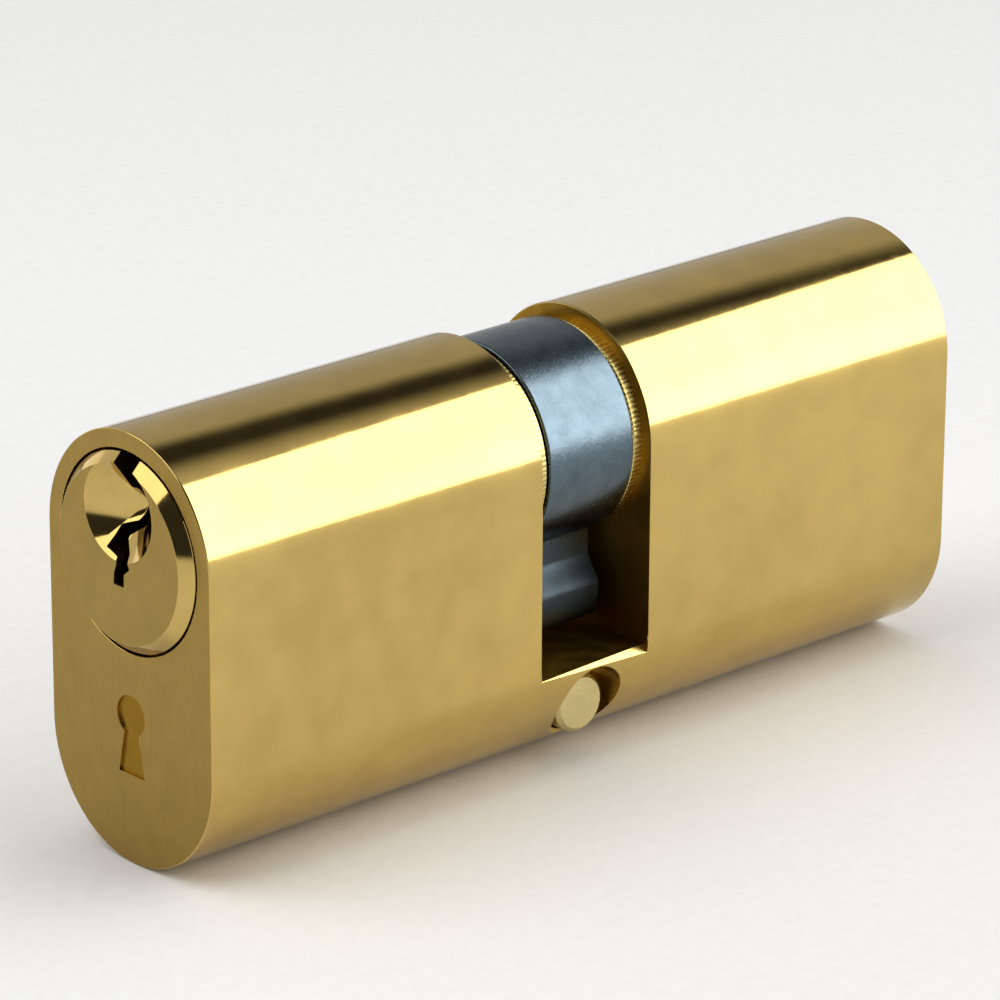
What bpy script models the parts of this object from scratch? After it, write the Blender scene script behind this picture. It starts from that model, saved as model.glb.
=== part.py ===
"""Oval-profile double lock cylinder.

A solid brass body of oval section carries a keyed plug in each end. Between
them, in a cut-out, sits a steel cam whose nose throws the bolt of the lock
case. A sliding coupler inside the cam ties it to one plug at a time. Five pin
stacks under each plug hold a key pin, a driver pin and a spring, closed from
below by a cap.

Frame: +X along the body, +Z up, origin at the centre of the bounding box.
Lengths below are millimetres; the finished meshes are in metres.
"""

import math

import bmesh
import bpy
from mathutils import Matrix, Vector

MM = 0.001

# body
BODY_LENGTH = 70.0
BODY_WIDTH = 16.9
BODY_HEIGHT = 31.0
BODY_EDGE = 0.25
BODY_ARC_STEPS = 28

# plug axis and the bores that hold the plugs
PLUG_Z = 7.0
HEAD_RADIUS = 7.07
HEAD_LENGTH = 3.3
HEAD_PROUD = 0.8
HEAD_CHAMFER = 0.8
HEAD_GAP = 0.10
BARREL_RADIUS = 6.5
BORE_RADIUS = 6.6
TURNED_STEPS = 48

# cut-out for the cam
WINDOW_HALF = 5.1
WINDOW_FLOOR_Z = -7.78
BOSS_RADIUS = 7.6
BOSS_FACE = 4.05

# plug tail, seen from the middle of the body outwards
TAIL_END = 1.6
TAIL_RADIUS = 6.0
GROOVE_INNER = 3.08
GROOVE_OUTER = 3.98
GROOVE_RADIUS = 5.7
TAIL_SLOT_HALF = 1.55
TAIL_SLOT_DEPTH = 1.45

# key guide cone and keyway in the plug face, relative to the plug axis
GUIDE_Z = 2.83
GUIDE_RADIUS = 3.4
GUIDE_DEPTH = 2.55
KEYWAY_FLOOR = -2.15
NOTCH_FLOOR = 4.3
NOTCH_RIGHT = -1.5
NOTCH_LEFT = 0.55

# pin stacks
STACK_X = (28.5, 24.5, 20.5, 16.5, 12.5)
STACK_TIP = (-1.5, -0.6, -1.2, -0.3, -0.9)
PIN_RADIUS = 1.35
PLUG_CHAMBER_RADIUS = 1.45
PLUG_CHAMBER_TOP = 1.0
BODY_CHAMBER_RADIUS = 1.5
KEY_PIN_BASE = -6.35
KEY_PIN_CONE = 1.1
DRIVER_TOP = -6.6
DRIVER_LENGTH = 5.0
CAP_RADIUS = 1.65
CAP_SEAT_RADIUS = 1.75
CAP_TOP_Z = -13.8
CAP_BOTTOM_Z = -15.25
SPRING_RADIUS = 1.07
SPRING_WIRE = 0.18
SPRING_TURNS = 6

# cam
CAM_HALF = 3.95
CAM_RADIUS = 7.75
CAM_BORE = 6.15
CAM_RECESS_RADIUS = 7.15
CAM_RECESS_FLOOR = 3.0
CAM_SLOT_TOP = 6.9
CAM_TIP_RADIUS = 13.6
CAM_NECK_HALF = 3.0
CAM_TIP_HALF = 4.1
CAM_STEP_TOP = -8.7
CAM_STEP_END = -10.1
CAM_EDGE = 0.25

# coupler blade
COUPLER_HALF_WIDTH = 1.45
COUPLER_HALF_HEIGHT = 6.75
COUPLER_LOW_X = -2.9
COUPLER_LENGTH = 3.0

# retaining clips
CLIP_INNER = 5.8
CLIP_OUTER = 7.0
CLIP_LOW = 3.13
CLIP_HIGH = 3.93
CLIP_GAP_DEG = 64.0

# cross pin through the bridge, and the counterbores at its ends
CROSS_Z = -11.2
CROSS_RADIUS = 2.3
CROSS_HALF = 6.66
CROSS_HOLE = 2.42
CROSS_SINK_RADIUS = 2.95
CROSS_SINK_Z = -11.05
CROSS_SINK_Y = 5.2


def clear_scene():
    for ob in list(bpy.data.objects):
        bpy.data.objects.remove(ob, do_unlink=True)
    for block in (bpy.data.meshes, bpy.data.materials):
        for item in list(block):
            block.remove(item)


def material(name, colour, roughness, metallic=1.0):
    mat = bpy.data.materials.new(name)
    mat.use_nodes = True
    shader = mat.node_tree.nodes["Principled BSDF"]
    shader.inputs["Base Color"].default_value = (*colour, 1.0)
    shader.inputs["Roughness"].default_value = roughness
    shader.inputs["Metallic"].default_value = metallic
    mat.diffuse_color = (*colour, 1.0)
    return mat


def turned(profile, steps=TURNED_STEPS, axis="X", centre=(0.0, 0.0, 0.0)):
    """A closed turned solid. profile lists (distance along the axis, radius)."""
    bm = bmesh.new()
    rings = []
    for along, radius in profile:
        if radius == 0.0:
            rings.append([bm.verts.new((along, 0.0, 0.0))])
            continue
        rings.append(
            [
                bm.verts.new(
                    (
                        along,
                        radius * math.cos(2 * math.pi * i / steps),
                        radius * math.sin(2 * math.pi * i / steps),
                    )
                )
                for i in range(steps)
            ]
        )
    for low, high in zip(rings, rings[1:]):
        for i in range(steps):
            j = (i + 1) % steps
            if len(low) == 1:
                bm.faces.new((low[0], high[i], high[j]))
            elif len(high) == 1:
                bm.faces.new((low[j], low[i], high[0]))
            else:
                bm.faces.new((low[i], high[i], high[j], low[j]))
    for ring in (rings[0], rings[-1]):
        if len(ring) > 1:
            bm.faces.new(ring)
    bmesh.ops.recalc_face_normals(bm, faces=bm.faces)
    turn = {
        "X": Matrix.Identity(4),
        "Y": Matrix.Rotation(math.pi / 2, 4, "Z"),
        "Z": Matrix.Rotation(-math.pi / 2, 4, "Y"),
    }[axis]
    bm.transform(Matrix.Translation(Vector(centre)) @ turn)
    return bm


def prism(outline, low, high, edge=0.0):
    """An outline in Y and Z, extruded along X, with its end edges chamfered."""
    bm = bmesh.new()
    ends = [[bm.verts.new((x, y, z)) for y, z in outline] for x in (low, high)]
    caps = [bm.faces.new(ring) for ring in ends]
    count = len(outline)
    for i in range(count):
        j = (i + 1) % count
        bm.faces.new((ends[0][i], ends[0][j], ends[1][j], ends[1][i]))
    bmesh.ops.recalc_face_normals(bm, faces=bm.faces)
    if edge:
        rims = list({e for cap in caps for e in cap.edges})
        bmesh.ops.bevel(
            bm, geom=rims, offset=edge, offset_type="OFFSET", segments=1,
            profile=0.5, affect="EDGES",
        )
        bmesh.ops.recalc_face_normals(bm, faces=bm.faces)
    return bm


def block(low, high):
    """A rectangular block between two corners."""
    bm = bmesh.new()
    bmesh.ops.create_cube(bm, size=1.0)
    size = Vector(high) - Vector(low)
    middle = (Vector(high) + Vector(low)) / 2
    bm.transform(Matrix.Translation(middle) @ Matrix.Diagonal((*size, 1.0)))
    return bm


def place(name, bm):
    """Put a bmesh in the scene as an object, still in millimetres."""
    mesh = bpy.data.meshes.new(name)
    bm.to_mesh(mesh)
    bm.free()
    ob = bpy.data.objects.new(name, mesh)
    bpy.context.scene.collection.objects.link(ob)
    return ob


def combine(target, tool_bm, operation="DIFFERENCE"):
    """Cut a tool out of the target, or join it on, and drop the tool."""
    tool = place("tool", tool_bm)
    mod = target.modifiers.new("combine", "BOOLEAN")
    mod.operation = operation
    mod.solver = "EXACT"
    mod.object = tool
    bpy.context.view_layer.update()
    graph = bpy.context.evaluated_depsgraph_get()
    result = bpy.data.meshes.new_from_object(target.evaluated_get(graph))
    target.modifiers.clear()
    before = target.data
    target.data = result
    bpy.data.meshes.remove(before)
    spare = tool.data
    bpy.data.objects.remove(tool, do_unlink=True)
    bpy.data.meshes.remove(spare)


def finish(ob, mat, origin=(0.0, 0.0, 0.0), flip=False, sharp=32.0):
    """Turn to the far half if asked, move the origin, and go to metres."""
    origin = Vector(origin)
    mesh = ob.data
    if flip:
        mesh.transform(Matrix.Rotation(math.pi, 4, "Z"))
        origin = Matrix.Rotation(math.pi, 4, "Z") @ origin
    mesh.transform(Matrix.Scale(MM, 4) @ Matrix.Translation(-origin))
    bm = bmesh.new()
    bm.from_mesh(mesh)
    bmesh.ops.remove_doubles(bm, verts=bm.verts, dist=2e-8)
    bmesh.ops.dissolve_degenerate(bm, dist=1e-8, edges=bm.edges)
    bmesh.ops.recalc_face_normals(bm, faces=bm.faces)
    bm.to_mesh(mesh)
    bm.free()
    ob.location = origin * MM
    mesh.materials.clear()
    mesh.materials.append(mat)
    mesh.shade_smooth()
    mesh.set_sharp_from_angle(angle=math.radians(sharp))
    return ob


def oval(inset=0.0):
    """The body's section: two half circles joined by straight sides."""
    radius = BODY_WIDTH / 2 - inset
    centre = (BODY_HEIGHT - BODY_WIDTH) / 2
    points = []
    for side, start in ((1, 0.0), (-1, math.pi)):
        for i in range(BODY_ARC_STEPS + 1):
            a = start + math.pi * i / BODY_ARC_STEPS
            points.append((radius * math.cos(a), side * centre + radius * math.sin(a)))
    return points


def keyway():
    """The key's section as a closed outline, relative to the plug axis."""
    left = [
        (NOTCH_LEFT, 7.6),
        (NOTCH_LEFT, NOTCH_FLOOR),
        (-0.25, NOTCH_FLOOR),
        (-0.25, 2.44),
        (0.09, 2.01),
        (0.60, 1.83),
        (1.15, 1.63),
        (1.26, 0.97),
        (1.50, 0.17),
        (1.05, 0.02),
        (0.31, -0.23),
        (0.25, -0.67),
        (0.50, -1.33),
        (0.58, KEYWAY_FLOOR),
    ]
    right = [
        (-0.50, KEYWAY_FLOOR),
        (-0.55, -1.20),
        (-1.13, -0.75),
        (-0.70, 0.19),
        (-0.16, 0.62),
        (0.14, 0.91),
        (0.11, 1.14),
        (-0.53, 1.64),
        (-1.00, 1.91),
        (-1.44, 2.55),
        (-1.44, NOTCH_FLOOR),
        (NOTCH_RIGHT, NOTCH_FLOOR),
        (NOTCH_RIGHT, 7.6),
    ]
    return left + right


def cam_outline():
    """The ring's outer edge and the nose under it, relative to the plug axis."""
    points = []
    start = math.atan2(-math.sqrt(CAM_RADIUS**2 - CAM_NECK_HALF**2), CAM_NECK_HALF)
    sweep = 2 * math.pi - 2 * (math.pi / 2 + start)
    ring_steps = 42
    for i in range(ring_steps + 1):
        a = start + sweep * i / ring_steps
        points.append((CAM_RADIUS * math.cos(a), CAM_RADIUS * math.sin(a)))
    # straight beside the neck, then a soft step out to the full width of the tip
    flank = [(CAM_NECK_HALF, CAM_STEP_TOP)]
    for i in range(1, 5):
        t = i / 5
        half = CAM_NECK_HALF + (CAM_TIP_HALF - CAM_NECK_HALF) * t * t * (3 - 2 * t)
        flank.append((half, CAM_STEP_TOP + (CAM_STEP_END - CAM_STEP_TOP) * t))
    flank.append((CAM_TIP_HALF, CAM_STEP_END))
    points += [(-y, z) for y, z in flank]
    spread = math.asin(CAM_TIP_HALF / CAM_TIP_RADIUS)
    tip_steps = 10
    for i in range(tip_steps + 1):
        a = -math.pi / 2 - spread + 2 * spread * i / tip_steps
        points.append((CAM_TIP_RADIUS * math.cos(a), CAM_TIP_RADIUS * math.sin(a)))
    points += list(reversed(flank))
    return points


def clip_outline():
    """An open ring with its gap at the top."""
    half = math.radians(CLIP_GAP_DEG) / 2
    first, last = math.pi / 2 + half, math.pi / 2 + 2 * math.pi - half
    steps = 30
    angles = [first + (last - first) * i / steps for i in range(steps + 1)]
    outer = [(CLIP_OUTER * math.cos(a), CLIP_OUTER * math.sin(a)) for a in angles]
    inner = [(CLIP_INNER * math.cos(a), CLIP_INNER * math.sin(a)) for a in angles]
    return outer + inner[::-1]


def spring(x):
    """A closed coil between the cap and the driver pin, as one swept solid."""
    low = CAP_TOP_Z + 0.1 + SPRING_WIRE
    high = PLUG_Z + DRIVER_TOP - DRIVER_LENGTH - 0.1 - SPRING_WIRE
    per_turn, sides = 8, 4
    count = per_turn * SPRING_TURNS
    bm = bmesh.new()
    rings = []
    for i in range(count + 1):
        t = i / count
        a = 2 * math.pi * SPRING_TURNS * t
        outward = Vector((math.cos(a), math.sin(a), 0.0))
        centre = Vector((x, 0.0, low + (high - low) * t)) + SPRING_RADIUS * outward
        ring = []
        for k in range(sides):
            b = 2 * math.pi * k / sides
            offset = outward * math.cos(b) + Vector((0.0, 0.0, 1.0)) * math.sin(b)
            ring.append(bm.verts.new(centre + SPRING_WIRE * offset))
        rings.append(ring)
    for a, b in zip(rings, rings[1:]):
        for k in range(sides):
            n = (k + 1) % sides
            bm.faces.new((a[k], a[n], b[n], b[k]))
    bm.faces.new(rings[0])
    bm.faces.new(rings[-1])
    bmesh.ops.recalc_face_normals(bm, faces=bm.faces)
    return bm


def build_body(mat):
    half = BODY_LENGTH / 2
    body = place("cylinder_body", prism(oval(), -half, half, BODY_EDGE))

    window = place(
        "window",
        block((-WINDOW_HALF, -12.0, WINDOW_FLOOR_Z), (WINDOW_HALF, 12.0, 20.0)),
    )
    for side in (-1, 1):
        boss = turned(
            [(min(side * BOSS_FACE, side * 7.0), BOSS_RADIUS),
             (max(side * BOSS_FACE, side * 7.0), BOSS_RADIUS)],
            centre=(0.0, 0.0, PLUG_Z),
        )
        combine(window, boss)
    cutter = bmesh.new()
    cutter.from_mesh(window.data)
    spare = window.data
    bpy.data.objects.remove(window, do_unlink=True)
    bpy.data.meshes.remove(spare)
    combine(body, cutter)

    sink = half + HEAD_PROUD - HEAD_LENGTH - 0.1
    bore = turned(
        [
            (-half - 3.0, HEAD_RADIUS + HEAD_GAP),
            (-sink, HEAD_RADIUS + HEAD_GAP),
            (-sink, BORE_RADIUS),
            (sink, BORE_RADIUS),
            (sink, HEAD_RADIUS + HEAD_GAP),
            (half + 3.0, HEAD_RADIUS + HEAD_GAP),
        ],
        centre=(0.0, 0.0, PLUG_Z),
    )
    combine(body, bore)

    for side in (-1, 1):
        for x in STACK_X:
            chamber = turned(
                [
                    (-17.0, CAP_SEAT_RADIUS),
                    (CAP_TOP_Z + 0.05, CAP_SEAT_RADIUS),
                    (CAP_TOP_Z + 0.05, BODY_CHAMBER_RADIUS),
                    (2.0, BODY_CHAMBER_RADIUS),
                ],
                steps=20,
                axis="Z",
                centre=(side * x, 0.0, 0.0),
            )
            combine(body, chamber)

    combine(
        body,
        turned([(-10.0, CROSS_HOLE), (10.0, CROSS_HOLE)], 24, "Y", (0.0, 0.0, CROSS_Z)),
    )
    for side in (-1, 1):
        near, far = sorted((side * CROSS_SINK_Y, side * 11.0))
        combine(
            body,
            turned(
                [(near, CROSS_SINK_RADIUS), (far, CROSS_SINK_RADIUS)],
                32, "Y", (0.0, 0.0, CROSS_SINK_Z),
            ),
        )
    finish(body, mat)


def build_plug(name, mat, flip):
    """Modelled for the front end about its own axis, then turned if it is the rear one."""
    face = -(BODY_LENGTH / 2 + HEAD_PROUD)
    plug = place(
        name,
        turned(
            [
                (face, HEAD_RADIUS - HEAD_CHAMFER),
                (face + HEAD_CHAMFER, HEAD_RADIUS),
                (face + HEAD_LENGTH, HEAD_RADIUS),
                (face + HEAD_LENGTH, BARREL_RADIUS),
                (-GROOVE_OUTER, BARREL_RADIUS),
                (-GROOVE_OUTER, GROOVE_RADIUS),
                (-GROOVE_INNER, GROOVE_RADIUS),
                (-GROOVE_INNER, TAIL_RADIUS),
                (-TAIL_END - 0.3, TAIL_RADIUS),
                (-TAIL_END, TAIL_RADIUS - 0.3),
            ]
        ),
    )
    combine(plug, prism(keyway(), face - 2.0, 0.0))
    reach = 1.5
    combine(
        plug,
        turned(
            [
                (face - reach, GUIDE_RADIUS * (1 + reach / GUIDE_DEPTH)),
                (face + GUIDE_DEPTH, 0.0),
            ],
            centre=(0.0, 0.0, GUIDE_Z),
        ),
    )
    combine(
        plug,
        block(
            (-TAIL_END - TAIL_SLOT_DEPTH, -TAIL_SLOT_HALF, -8.0),
            (0.0, TAIL_SLOT_HALF, 8.0),
        ),
    )
    for x in STACK_X:
        combine(
            plug,
            turned(
                [(-9.0, PLUG_CHAMBER_RADIUS), (PLUG_CHAMBER_TOP, PLUG_CHAMBER_RADIUS)],
                20, "Z", (-x, 0.0, 0.0),
            ),
        )
    plug.data.transform(Matrix.Translation((0.0, 0.0, PLUG_Z)))
    finish(plug, mat, origin=(0.0, 0.0, PLUG_Z), flip=flip)


def build_cam(mat):
    cam = place("cam", prism(cam_outline(), -CAM_HALF, CAM_HALF, CAM_EDGE))
    combine(
        cam,
        turned(
            [
                (-6.0, CAM_RECESS_RADIUS),
                (-CAM_RECESS_FLOOR, CAM_RECESS_RADIUS),
                (-CAM_RECESS_FLOOR, CAM_BORE),
                (CAM_RECESS_FLOOR, CAM_BORE),
                (CAM_RECESS_FLOOR, CAM_RECESS_RADIUS),
                (6.0, CAM_RECESS_RADIUS),
            ]
        ),
    )
    combine(
        cam,
        block(
            (-3.6, -TAIL_SLOT_HALF, -CAM_SLOT_TOP), (3.6, TAIL_SLOT_HALF, CAM_SLOT_TOP)
        ),
    )
    cam.data.transform(Matrix.Translation((0.0, 0.0, PLUG_Z)))
    finish(cam, mat, origin=(0.0, 0.0, PLUG_Z), sharp=28.0)


def build_coupler(mat):
    w, h = COUPLER_HALF_WIDTH, COUPLER_HALF_HEIGHT
    outline = [(w, -h + 0.3), (w, h - 0.3), (w - 0.3, h), (-w + 0.3, h),
               (-w, h - 0.3), (-w, -h + 0.3), (-w + 0.3, -h), (w - 0.3, -h)]
    coupler = place(
        "coupler", prism(outline, COUPLER_LOW_X, COUPLER_LOW_X + COUPLER_LENGTH, 0.2)
    )
    coupler.data.transform(Matrix.Translation((0.0, 0.0, PLUG_Z)))
    finish(coupler, mat, origin=(COUPLER_LOW_X + COUPLER_LENGTH / 2, 0.0, PLUG_Z))


def build_clip(name, mat, flip):
    clip = place(name, prism(clip_outline(), -CLIP_HIGH, -CLIP_LOW))
    clip.data.transform(Matrix.Translation((0.0, 0.0, PLUG_Z)))
    finish(clip, mat, origin=(0.0, 0.0, PLUG_Z), flip=flip)


def build_cross_pin(mat):
    pin = place(
        "cross_pin",
        turned(
            [
                (-CROSS_HALF, CROSS_RADIUS - 0.3),
                (-CROSS_HALF + 0.3, CROSS_RADIUS),
                (CROSS_HALF - 0.3, CROSS_RADIUS),
                (CROSS_HALF, CROSS_RADIUS - 0.3),
            ],
            24, "Y", (0.0, 0.0, CROSS_Z),
        ),
    )
    finish(pin, mat, origin=(0.0, 0.0, CROSS_Z))


def build_stack(side, number, x, tip, mats, flip):
    """One pin stack, modelled under the front plug and turned for the rear."""
    axis = (-x, 0.0, 0.0)
    base = PLUG_Z + KEY_PIN_BASE
    key_pin = place(
        f"{side}_key_pin_{number}",
        turned(
            [
                (base, PIN_RADIUS - 0.2),
                (base + 0.2, PIN_RADIUS),
                (PLUG_Z + tip - KEY_PIN_CONE, PIN_RADIUS),
                (PLUG_Z + tip, 0.35),
            ],
            16, "Z", axis,
        ),
    )
    finish(key_pin, mats["key_pin"], origin=(-x, 0.0, base), flip=flip)

    top = PLUG_Z + DRIVER_TOP
    driver = place(
        f"{side}_driver_pin_{number}",
        turned(
            [
                (top - DRIVER_LENGTH, PIN_RADIUS - 0.2),
                (top - DRIVER_LENGTH + 0.2, PIN_RADIUS),
                (top - 0.2, PIN_RADIUS),
                (top, PIN_RADIUS - 0.2),
            ],
            16, "Z", axis,
        ),
    )
    finish(driver, mats["driver_pin"], origin=(-x, 0.0, top), flip=flip)

    coil = place(f"{side}_spring_{number}", spring(-x))
    finish(coil, mats["spring"], origin=(-x, 0.0, CAP_TOP_Z), flip=flip, sharp=80.0)

    cap = place(
        f"{side}_chamber_cap_{number}",
        turned(
            [(CAP_BOTTOM_Z, CAP_RADIUS), (CAP_TOP_Z, CAP_RADIUS)], 20, "Z", axis
        ),
    )
    finish(cap, mats["cap"], origin=(-x, 0.0, CAP_BOTTOM_Z), flip=flip)


def main():
    clear_scene()
    build_body(material("body_brass", (0.62, 0.44, 0.15), 0.22))
    build_plug("front_plug", material("front_plug_brass", (0.66, 0.47, 0.17), 0.28), False)
    build_plug("rear_plug", material("rear_plug_brass", (0.66, 0.47, 0.17), 0.28), True)
    build_cam(material("cam_steel", (0.17, 0.19, 0.22), 0.42))
    build_coupler(material("coupler_steel", (0.45, 0.46, 0.48), 0.35))
    build_clip("front_circlip", material("front_clip_steel", (0.30, 0.31, 0.33), 0.4), False)
    build_clip("rear_circlip", material("rear_clip_steel", (0.30, 0.31, 0.33), 0.4), True)
    build_cross_pin(material("cross_pin_brass", (0.75, 0.66, 0.36), 0.3))
    for side, flip in (("front", False), ("rear", True)):
        for number, (x, tip) in enumerate(zip(STACK_X, STACK_TIP), start=1):
            tag = f"{side}_{number}"
            mats = {
                "key_pin": material(f"key_pin_brass_{tag}", (0.70, 0.50, 0.20), 0.3),
                "driver_pin": material(f"driver_pin_brass_{tag}", (0.64, 0.46, 0.18), 0.3),
                "spring": material(f"spring_steel_{tag}", (0.55, 0.53, 0.48), 0.3),
                "cap": material(f"cap_brass_{tag}", (0.60, 0.43, 0.16), 0.35),
            }
            build_stack(side, number, x, tip, mats, flip)


main()
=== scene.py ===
# Looks for the oval-profile double lock cylinder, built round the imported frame.

import math

import bmesh
import bpy
from mathutils import Matrix, Vector


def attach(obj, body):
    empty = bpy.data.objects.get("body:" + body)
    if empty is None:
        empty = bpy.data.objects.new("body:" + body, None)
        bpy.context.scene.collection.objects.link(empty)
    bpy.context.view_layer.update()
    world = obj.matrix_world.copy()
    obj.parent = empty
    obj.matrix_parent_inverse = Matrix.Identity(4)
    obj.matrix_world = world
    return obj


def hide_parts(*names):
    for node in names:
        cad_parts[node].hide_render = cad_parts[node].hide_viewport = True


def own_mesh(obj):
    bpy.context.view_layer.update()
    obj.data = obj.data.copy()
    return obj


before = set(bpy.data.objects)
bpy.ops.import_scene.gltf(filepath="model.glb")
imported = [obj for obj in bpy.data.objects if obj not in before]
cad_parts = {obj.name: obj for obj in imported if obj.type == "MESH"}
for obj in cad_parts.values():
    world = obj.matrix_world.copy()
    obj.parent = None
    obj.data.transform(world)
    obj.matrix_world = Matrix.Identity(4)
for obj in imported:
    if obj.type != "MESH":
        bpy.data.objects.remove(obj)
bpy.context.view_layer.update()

MM = 0.001

# the same dimensions as the CAD, in millimetres
HALF = 35.0
OVAL_R = 8.45
OVAL_C = 7.05
PLUG_Z = 7.0
HEAD_R = 7.02
HEAD_LENGTH = 3.3
HEAD_PROUD = 0.8
HEAD_CHAMFER = 0.8
BARREL_R = 6.5
BORE_R = 6.6
WINDOW_LOW, WINDOW_HIGH = -5.28, 4.92
FLOOR_Z = -7.78
BOSS_R = 7.6
BOSS_FACE = 4.05
TAIL_END = 1.6
TAIL_R = 6.0
GROOVE_IN, GROOVE_OUT, GROOVE_R = 3.08, 3.98, 5.7
SLOT_HALF = 1.55
SLOT_DEPTH = 1.45
GUIDE_Z, GUIDE_R, GUIDE_DEPTH = 3.1, 3.55, 2.65
KEYWAY_FLOOR = -2.15
NOTCH_FLOOR = 4.3
NOTCH_RIGHT, NOTCH_LEFT = -1.5, 0.55
STACK_X = (28.5, 24.5, 20.5, 16.5, 12.5)
STACK_TIP = (-1.5, -0.6, -1.2, -0.3, -0.9)
PIN_R = 1.35
CAM_HALF, CAM_R, CAM_BORE = 3.95, 7.75, 6.15
CAM_RECESS_R, CAM_RECESS_FLOOR, CAM_SLOT_TOP = 7.15, 3.0, 6.9
CAM_TIP_R, CAM_NECK, CAM_TIP = 13.9, 3.3, 4.42
CAM_STEP_TOP, CAM_STEP_END = -8.7, -10.9
CROSS_Z, CROSS_R, CROSS_HALF, CROSS_HOLE = -11.2, 2.22, 6.66, 2.42
SINK_R, SINK_Z, SINK_Y = 2.95, -11.05, 5.2


# ---------------------------------------------------------------- mesh tools

def turned(profile, steps=128, axis="X", centre=(0.0, 0.0, 0.0), start=0.0):
    """A closed turned solid. profile lists (distance along the axis, radius)."""
    bm = bmesh.new()
    rings = []
    for along, radius in profile:
        if radius == 0.0:
            rings.append([bm.verts.new((along, 0.0, 0.0))])
            continue
        ring = []
        for i in range(steps):
            a = start + 2 * math.pi * i / steps
            ring.append(bm.verts.new((along, radius * math.cos(a), radius * math.sin(a))))
        rings.append(ring)
    for low, high in zip(rings, rings[1:]):
        for i in range(steps):
            j = (i + 1) % steps
            if len(low) == 1:
                bm.faces.new((low[0], high[i], high[j]))
            elif len(high) == 1:
                bm.faces.new((low[j], low[i], high[0]))
            else:
                bm.faces.new((low[i], high[i], high[j], low[j]))
    for ring in (rings[0], rings[-1]):
        if len(ring) > 1:
            bm.faces.new(ring)
    bmesh.ops.recalc_face_normals(bm, faces=bm.faces)
    turn = {
        "X": Matrix.Identity(4),
        "Y": Matrix.Rotation(math.pi / 2, 4, "Z"),
        "Z": Matrix.Rotation(-math.pi / 2, 4, "Y"),
    }[axis]
    bm.transform(Matrix.Translation(Vector(centre)) @ turn)
    return bm


def rounded(points, radius, steps=3):
    """A turned profile with each inner corner that turns rounded off."""
    out = [points[0]]
    for before, here, after in zip(points, points[1:], points[2:]):
        b, h, a = Vector(before), Vector(here), Vector(after)
        u, v = (b - h), (a - h)
        r = min(radius, 0.45 * u.length, 0.45 * v.length)
        u.normalize()
        v.normalize()
        p, q = h + u * r, h + v * r
        for i in range(steps + 1):
            t = i / steps
            point = p * (1 - t) ** 2 + h * 2 * t * (1 - t) + q * t**2
            out.append((point.x, point.y))
    out.append(points[-1])
    return out


def loft(sections):
    """A closed solid through outlines of equal count; each is (x, [(y, z), ...])."""
    bm = bmesh.new()
    rings = [[bm.verts.new((x, y, z)) for y, z in outline] for x, outline in sections]
    for low, high in zip(rings, rings[1:]):
        for i in range(len(low)):
            j = (i + 1) % len(low)
            bm.faces.new((low[i], low[j], high[j], high[i]))
    bm.faces.new(rings[0])
    bm.faces.new(rings[-1])
    bmesh.ops.recalc_face_normals(bm, faces=bm.faces)
    return bm


def block(low, high):
    bm = bmesh.new()
    bmesh.ops.create_cube(bm, size=1.0)
    size = Vector(high) - Vector(low)
    middle = (Vector(high) + Vector(low)) / 2
    bm.transform(Matrix.Translation(middle) @ Matrix.Diagonal((*size, 1.0)))
    return bm


def place(name, bm):
    mesh = bpy.data.meshes.new(name)
    bm.to_mesh(mesh)
    bm.free()
    ob = bpy.data.objects.new(name, mesh)
    bpy.context.scene.collection.objects.link(ob)
    return ob


def combine(target, tool_bm, operation="DIFFERENCE"):
    tool = place("tool", tool_bm)
    mod = target.modifiers.new("combine", "BOOLEAN")
    mod.operation = operation
    mod.solver = "EXACT"
    mod.object = tool
    bpy.context.view_layer.update()
    graph = bpy.context.evaluated_depsgraph_get()
    result = bpy.data.meshes.new_from_object(target.evaluated_get(graph))
    target.modifiers.clear()
    before = target.data
    target.data = result
    bpy.data.meshes.remove(before)
    spare = tool.data
    bpy.data.objects.remove(tool, do_unlink=True)
    bpy.data.meshes.remove(spare)


def finish_piece(ob, body, nodes, mats, flip=False, sharp=35.0, pick=None, lift=0.0):
    """To metres, shading, materials by region, and the tie to the CAD body."""
    mesh = ob.data
    if lift:
        mesh.transform(Matrix.Translation((0.0, 0.0, lift)))
    if flip:
        mesh.transform(Matrix.Rotation(math.pi, 4, "Z"))
    bm = bmesh.new()
    bm.from_mesh(mesh)
    bmesh.ops.remove_doubles(bm, verts=bm.verts, dist=2e-4)
    bmesh.ops.dissolve_degenerate(bm, dist=1e-4, edges=bm.edges)
    bmesh.ops.recalc_face_normals(bm, faces=bm.faces)
    bm.to_mesh(mesh)
    bm.free()
    mesh.materials.clear()
    for mat in mats:
        mesh.materials.append(mat)
    for poly in mesh.polygons:
        poly.material_index = pick(poly.center, poly.normal) if pick else 0
    mesh.transform(Matrix.Scale(MM, 4))
    mesh.shade_smooth()
    mesh.set_sharp_from_angle(angle=math.radians(sharp))
    weighted = ob.modifiers.new("weighted", "WEIGHTED_NORMAL")
    weighted.mode = "FACE_AREA"
    weighted.weight = 50
    weighted.keep_sharp = True
    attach(ob, body)
    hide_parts(*nodes)
    return ob


# ---------------------------------------------------------------- materials

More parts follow.
